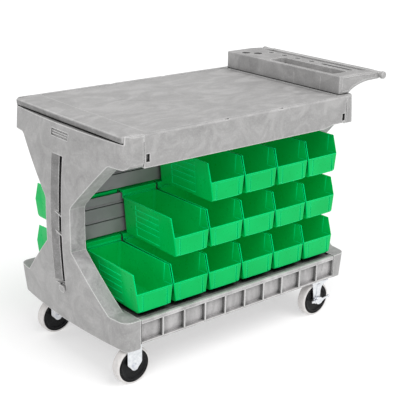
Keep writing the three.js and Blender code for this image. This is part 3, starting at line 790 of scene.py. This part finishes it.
def make_divider(material):
    half = PANEL_HALF_Y
    body = box((-PANEL_HALF_X, PANEL_HALF_X), (-half, half), (FOOT_TOP + GAP, DECK_UNDER - GAP))
    body = join(body, box((-BASE_SEAM + 2, BASE_SEAM - 2), (-half, half),
                          (BASE_FLOOR + GAP, FOOT_TOP + 2)))
    hollow = box((-PANEL_HALF_X + SHEET, PANEL_HALF_X - SHEET), (-half + SHEET, half - SHEET),
                 (FOOT_TOP + 3, DECK_UNDER - 3))
    tools, lips = [hollow], []
    for rim in RIM_TOPS:
        seat = rim + HOOK_REST
        tools.append(box((-BINS_END - 1, BINS_END + 1), (-half - 2, half + 2), (seat, seat + HOOK_SLOT)))
        for step in (1, 2):
            z = seat + HOOK_SLOT - step * LOUVRE_PITCH
            tools.append(rounded_box((-424, 424), (-half - 2, half + 2), (z - 4, z), 1.8, "Y"))
            for sign in (1, -1):
                lip = ((half - 1, z), (half + 2.6, z + 0.2), (half + 3.4, z + 1.2),
                       (half + 2.4, z + 4), (half - 1, z + 8))
                lips.append(prism([(sign * a, b) for a, b in lip], "X", -418, 418))
    body = cut(body, *tools)
    clean(body)
    rounded(body, 0.5, 2, 40)
    for lip in lips:
        rounded(lip, 0.5, 2, 25)
    piece("divider", merged(body, *lips), material, "cart", ["louvre_panel"])


# ---- bins --------------------------------------------------------------------------------------

def bin_half_width(out, down):
    """Half width of the bin: drafted flanks that flare to full width along the front edge."""
    lean = BIN_DRAFT * down / BIN_HEIGHT
    taper = 3 * max(BIN_FRONT - out, 0) / (BIN_FRONT - BIN_BACK)
    at_lip = BIN_DRAFT * LIP_DOWN / BIN_HEIGHT
    if down <= LIP_DOWN:
        flare = lean
    else:
        flare = at_lip * (BIN_HEIGHT - down) / (BIN_HEIGHT - LIP_DOWN)
    return BIN_WIDTH / 2 - lean - taper + flare * min(max((out - FLARE_FROM) / 24, 0), 1)


def flank_relief(out, down):
    """How far the flank stands in from the draft plane: rim bead, ribbed zone, front zone."""
    if down < 5:
        return 0.0
    if out >= 207:
        return 0.0
    inset = 1.0
    if 84 <= out <= 203 and 12 < down < 114:
        inset += 1.3
        for rib in (28, 48, 68, 88):
            if abs(down - rib) < 2.2:
                inset -= 1.0
    return inset


def bin_front(down):
    stops = ((-10, 269), (0, 272), (LIP_DOWN, 290), (118, BIN_FRONT), (BIN_HEIGHT, 283))
    for (d0, f0), (d1, f1) in zip(stops, stops[1:]):
        if down <= d1:
            return f0 + (f1 - f0) * (down - d0) / (d1 - d0)
    return 283


def ring_solid(rings):
    """Loft equal-length rings of points and cap both ends."""
    bm = bmesh.new()
    rows = [[bm.verts.new(p) for p in ring] for ring in rings]
    for one, two in zip(rows, rows[1:]):
        for i in range(len(one)):
            j = (i + 1) % len(one)
            bm.faces.new((one[i], one[j], two[j], two[i]))
    bm.faces.new(rows[0])
    bm.faces.new(rows[-1])
    bmesh.ops.recalc_face_normals(bm, faces=bm.faces)
    return bm


def bin_ring(down, outs, back_r, front_r, inset, shrink, relief=True):
    """Plan section of the bin at one depth: flank stations joined by rounded corners."""
    back, front = BIN_BACK + 4 * max(down, 0) / BIN_HEIGHT + inset, bin_front(down) - inset
    shift = shrink

    def width(out):
        depth = flank_relief(out, down) if relief else 0
        return bin_half_width(out, down) - inset - shift - depth

    right = []
    for x, y in arc(0, 0, back_r, -90, 0, 4):
        right.append((width(back + back_r) - back_r + x, back + shift + back_r + y))
    right += [(width(out), out) for out in outs]
    for x, y in arc(0, 0, front_r, 0, 90, 4):
        right.append((width(front - front_r) - front_r + x, front - shift - front_r + y))
    ring = right + [(-x, y) for x, y in reversed(right)]
    return [(x, -y, -down) for x, y in ring]


def make_bin_mesh(material):
    outs = [36, 82, 84, 100, 140, 180, 203, 207, 225, 240, 252, 256, 260]
    floor = BIN_HEIGHT
    levels = [0, 1.2, 4.2, 5.2, 11.5, 12.5]
    for rib in (28, 48, 68, 88):
        levels += [rib - 3, rib - 2, rib + 2, rib + 3]
    levels += [LIP_DOWN - 1.5, LIP_DOWN, 102, 113.5, 114.5, 118]
    rings = [bin_ring(d, outs, 7, 4, 0, 0.8 if d == 0 else 0) for d in sorted(levels)]
    rings += [bin_ring(floor - 6 * (1 - math.sin(a)) , outs, 7, 4, 0, 6 * (1 - math.cos(a)))
              for a in (math.radians(t) for t in (22, 45, 67, 90))]
    body = ring_solid(rings)
    inner_levels = (-6, 0, 20, 40, LIP_DOWN, 80, 100, 112)
    wall = BIN_WALL + 1.4
    rings = [bin_ring(d, [40, 120, 200, 240], 9, 7, wall, 0, False) for d in inner_levels]
    rings += [bin_ring(floor - wall - 9 * (1 - math.sin(a)), [40, 120, 200, 240], 9, 7, wall,
                       9 * (1 - math.cos(a)), False) for a in (math.radians(t) for t in (22, 45, 67, 90))]
    inside = ring_solid(rings)
    stations = []
    for out in (246, 250, 252, 264, 276, 286, 330):
        rows = [(-8, 0), (20, 20), (40, 40), (LIP_DOWN, LIP_DOWN)]
        thin = wall - 1.6 * min(max((out - 250) / 2, 0), 1)
        right = [(bin_half_width(min(out, 288), d) - thin, -out, -down) for down, d in rows]
        stations.append(right + [(-x, y, z) for x, y, z in reversed(right)])
    mouth = ring_solid(stations)
    body = cut(body, inside, mouth)
    label = tapered_box((-46, 46), (-120, -66), -(BIN_FRONT + 3), -(BIN_FRONT - 1.6), 0)
    grooves = [box(sorted((s * 43.5, s * 48.5)), (-BIN_FRONT - 3, -BIN_FRONT + 2.4), (-119, -65))
               for s in (1, -1)]
    body = cut(body, label, *grooves)
    width = BIN_WIDTH / 2 - 3
    top = HOOK_REST + 10
    hook = [(-BIN_BACK - 3, -6), (-BIN_BACK - 3, top), (-0.8, top), (-0.8, HOOK_REST - HOOK_DEEP + 0.8),
            (-3.4, HOOK_REST - HOOK_DEEP + 0.8), (-3.4, HOOK_REST + 0.4), (-BIN_BACK, HOOK_REST + 0.4),
            (-BIN_BACK, -6)]
    hanger = prism(hook, "X", -width, width)
    clean(hanger)
    rounded(hanger, 0.9, 2, 30)
    bead = [(-BIN_BACK - 6.2, 7), (-BIN_BACK - 2, 8), (-BIN_BACK - 2, 3), (-BIN_BACK - 6.2, 4)]
    bead = prism(bead, "X", -width + 4, width - 4)
    rounded(bead, 0.6, 2, 30)
    body = merged(body, hanger, bead)
    return finished_mesh("bin", body, material)


def add_bins(mesh):
    for side, sign, turn in (("near", 1, 0.0), ("far", -1, math.pi)):
        for row, (rim, count) in enumerate(zip(RIM_TOPS, BINS_IN_ROW), start=1):
            for i in range(count):
                node = f"bin_{side}_{row}_{i + 1}"
                x = sign * (BINS_END - BIN_PITCH / 2 - i * BIN_PITCH)
                show(f"green_{node}", mesh, node, [node],
                     (MID_X + x * MM, 0, rim * MM), turn)


# ---- casters -----------------------------------------------------------------------------------

LEG_IN, LEG_OUT = WHEEL_W / 2 + 3, WHEEL_W / 2 + 6
PLATE = (RAIL_BOTTOM - GAP - 4, RAIL_BOTTOM - GAP)


def both_sides(half):
    """A (radius, along) half profile from the bore out to the rim, closed by its mirror image."""
    return half + [(r, -y) for r, y in reversed(half)]


def tyre():
    half = [(HUB_R + GAP, -16), (56.5, -16), (58.6, -15.5), (60.2, -14.2), (61.1, -12), (61.5, -8)]
    return lathe(both_sides(half), 72)


def hub():
    half = [(6.4, -17.5), (12.6, -17.5), (14.2, -16.8), (15, -15.2), (16.5, -13.2), (19, -12.4),
            (23, -12.2), (24, -13), (25, -12.2), (29, -12.1), (30, -12.9), (31, -12.1), (35, -12),
            (36, -12.8), (37, -12), (40, -12.3), (42.5, -14.2), (44.3, -15.9), (46.2, -16),
            (47.5, -15), (48.3, -13.6), (50.4, -13.3), (51.6, -14.2), (52.6, -15.8), (54, -16)]
    return lathe(both_sides(half), 72)


def hexagon(radius, levels, at=(0, 0)):
    bolt = rod("Y", radius, levels, at, 6)
    rounded(bolt, 0.8, 2, 30)
    return bolt


def axle():
    shaft = rod("Y", 6, (-LEG_OUT - 0.5, LEG_OUT + 0.5), (0, 0))
    washer = rod("Y", 11, (-LEG_OUT - 1.4, -LEG_OUT - 0.1), (0, 0))
    rounded(washer, 0.4, 2, 40)
    tip = rod("Y", 5, (LEG_OUT + 6, LEG_OUT + 6.5), (0, 0))
    return merged(shaft, washer, hexagon(9.6, (-LEG_OUT - 5.5, -LEG_OUT - 1.4)),
                  hexagon(9.6, (LEG_OUT + 0.4, LEG_OUT + 6)), tip)


def legs(profile):
    pair = join(prism(profile, "Y", LEG_IN, LEG_OUT), prism(profile, "Y", -LEG_OUT, -LEG_IN))
    return cut(pair, rod("Y", 6.4, (-60, 60), (0, 0), 24))


def bolt_heads(places, z):
    heads = [rod("Z", 5.5, (z - 3.2, z), at, 6) for at in places]
    for head in heads:
        rounded(head, 0.6, 2, 30)
    return heads


def fixed_fork():
    bottom, top = (z - WHEEL_R for z in PLATE)
    profile = [(-27, top), (-27, 12), (-25.6, 8), *arc(0, 0, 14, 205, 335, 14), (25.6, 8), (27, 12),
               (27, top)]
    body = join(legs(profile), box((-22.5, 49), (-26, 26), (bottom, top)),
                box((-22.5, 27), (-LEG_OUT, LEG_OUT), (bottom, top)))
    clean(body)
    rounded(body, 1.1, 3, 35)
    return merged(body, *bolt_heads([(40, 19), (40, -19)], bottom))


def swivel_fork():
    crown_top = PLATE[0] - 4.6 - GAP - WHEEL_R
    crown = crown_top - 4
    profile = [(-25, crown), (-24, crown - 6), *arc(0, 0, 16, 190, 345, 16), (16, crown - 32),
               (22, crown - 16), (TRAIL + 12, crown), (TRAIL + 12, crown_top), (-25, crown_top)]
    body = join(legs(profile), box((-25, TRAIL + 12), (-LEG_OUT, LEG_OUT), (crown, crown_top)),
                rod("Z", 26, (crown, crown_top), (TRAIL, 0), 40))
    clean(body)
    rounded(body, 1.1, 3, 35)
    ribs = []
    for sign in (1, -1):
        ys = sorted((sign * (LEG_OUT - 1), sign * (LEG_OUT + 2.6)))
        rib = prism([(-3, crown - 4), (-5, 10), (7, 10), (12, crown - 4)], "Y", *ys)
        rounded(rib, 1.8, 3, 30)
        ribs.append(rib)
    return merged(body, *ribs)


def swivel_plate():
    base = box((-44, 44), (-26, 26), PLATE)
    rounded(base, 1.2, 2, 30)
    race = lathe([(0, 0.6), (20, 0.6), (22, -0.4), (22, -2), (20.5, -3.2), (20.5, -4.2), (19, -4.6),
                  (0, -4.6)], 48)
    bmesh.ops.remove_doubles(race, verts=race.verts, dist=0.001)
    bmesh.ops.rotate(race, matrix=Matrix.Rotation(math.radians(90), 3, "X"), verts=race.verts)
    bmesh.ops.translate(race, vec=(0, 0, PLATE[0]), verts=race.verts)
    return merged(base, race, *bolt_heads([(x, y) for x in (-35, 35) for y in (-18, 18)], PLATE[0]))


def brake(side):
    outline = [(-32, -2.5), (-33, 1.5), (-30.5, 4.8), (-27, 4.6), (-18, 3), (-12, 4), (-9.5, 10),
               (-5, 12.6), (5, 13), (10.5, 11), (13, 6.5), (22, 5.6), (36, 7), (48, 8.4), (51.2, 7.4),
               (52, 4.4), (49, 2.4), (36, 0.4), (24, -2.6), (17, -7), (10, -12.6), (4, -14), (-4, -13.6),
               (-10, -10.5), (-14, -5.5), (-20, -3), (-28, -3.2)]
    low = LEG_OUT + 7.2
    pedal = prism(outline, "Y", *sorted((side * low, side * (low + 5))))
    clean(pedal)
    rounded(pedal, 1.6, 3, 35)
    pads = []
    for x, z, radius in ((-30, 1, 4.6), (48, 5.4, 5)):
        pad = rod("Y", radius, sorted((side * (low - 1), side * (low + 4.8))), (x, z), 24)
        rounded(pad, 1.6, 3, 35)
        pads.append(pad)
    return merged(pedal, *pads)


def add_wheel(caster, at, tyre_material, hub_material, metal, axle_body):
    wheel = f"{caster}_wheel"
    piece(f"{caster}_tread", tyre(), tyre_material, wheel, [f"{caster}_tyre"], at)
    piece(f"{caster}_core", hub(), hub_material, wheel, [f"{caster}_hub"], at)
    piece(f"{caster}_bolt", axle(), metal, axle_body, [f"{caster}_axle"], at)


def add_casters(tyre_material, hub_material, metal):
    for place, track, side in (("near", NEAR_TRACK, -1), ("far", FAR_TRACK, 1)):
        y = track * MM
        caster = f"caster_rear_{place}"
        at = (MID_X + FIXED_X * MM, y, WHEEL_R * MM)
        piece(f"{caster}_bracket", fixed_fork(), metal, "cart", [f"{caster}_fork"], at)
        add_wheel(caster, at, tyre_material, hub_material, metal, "cart")
        caster = f"caster_handle_{place}"
        pin = (MID_X + SWIVEL_X * MM, y, 0)
        at = (pin[0] - TRAIL * MM, y, WHEEL_R * MM)
        swivel = f"{caster}_swivel"
        piece(f"{caster}_top", swivel_plate(), metal, "cart", [f"{caster}_plate"], pin)
        piece(f"{caster}_yoke", swivel_fork(), metal, swivel, [f"{caster}_fork"], at)
        piece(f"{caster}_lever", brake(side), metal, f"{caster}_pedal", [f"{caster}_brake"], at)
        add_wheel(caster, at, tyre_material, hub_material, metal, swivel)


# ---- everything ------------------------------------------------------------------------------

add_camera()
add_studio()
add_floor()

FOAM = foam_plastic("foam_grey", level=0.85, calm=0.35)
DECK_FOAM = foam_plastic("foam_deck", (0.6, 1, 1), 0.94, calm=0.35)
BASE_FOAM = foam_plastic("foam_base", (1, 1, 0.3), 1.05, 0.05, green=0.975)
# a darker copy of the foam, painted on faces that lie in shade
PAINTED_SHADE_FOAM = foam_plastic("foam_painted_shade", level=0.5)
# a less green foam copy, painted to offset green light bounced from the bins
BOUNCE_TINTED_FOAM = foam_plastic("foam_inner_bounce_tint", level=0.88, green=0.945)
ZINC = zinc_plate()

make_deck((DECK_FOAM, PAINTED_SHADE_FOAM, FOAM))
make_tray(FOAM)
make_end_frame("frame_rear", "end_frame_rear", (FOAM, PAINTED_SHADE_FOAM, BOUNCE_TINTED_FOAM),
               -SEAM_REAR, REAR_FOOT, REAR_SHOULDER, False)
make_end_frame("frame_handle", "end_frame_handle", (FOAM, PAINTED_SHADE_FOAM, BOUNCE_TINTED_FOAM),
               SEAM_HANDLE, HANDLE_FOOT, HANDLE_SHOULDER, True)
make_base((BASE_FOAM, PAINTED_SHADE_FOAM))
make_divider(louvre_paint())
add_bins(make_bin_mesh(bin_plastic()))
add_casters(tyre_rubber(), hub_plastic(), ZINC)
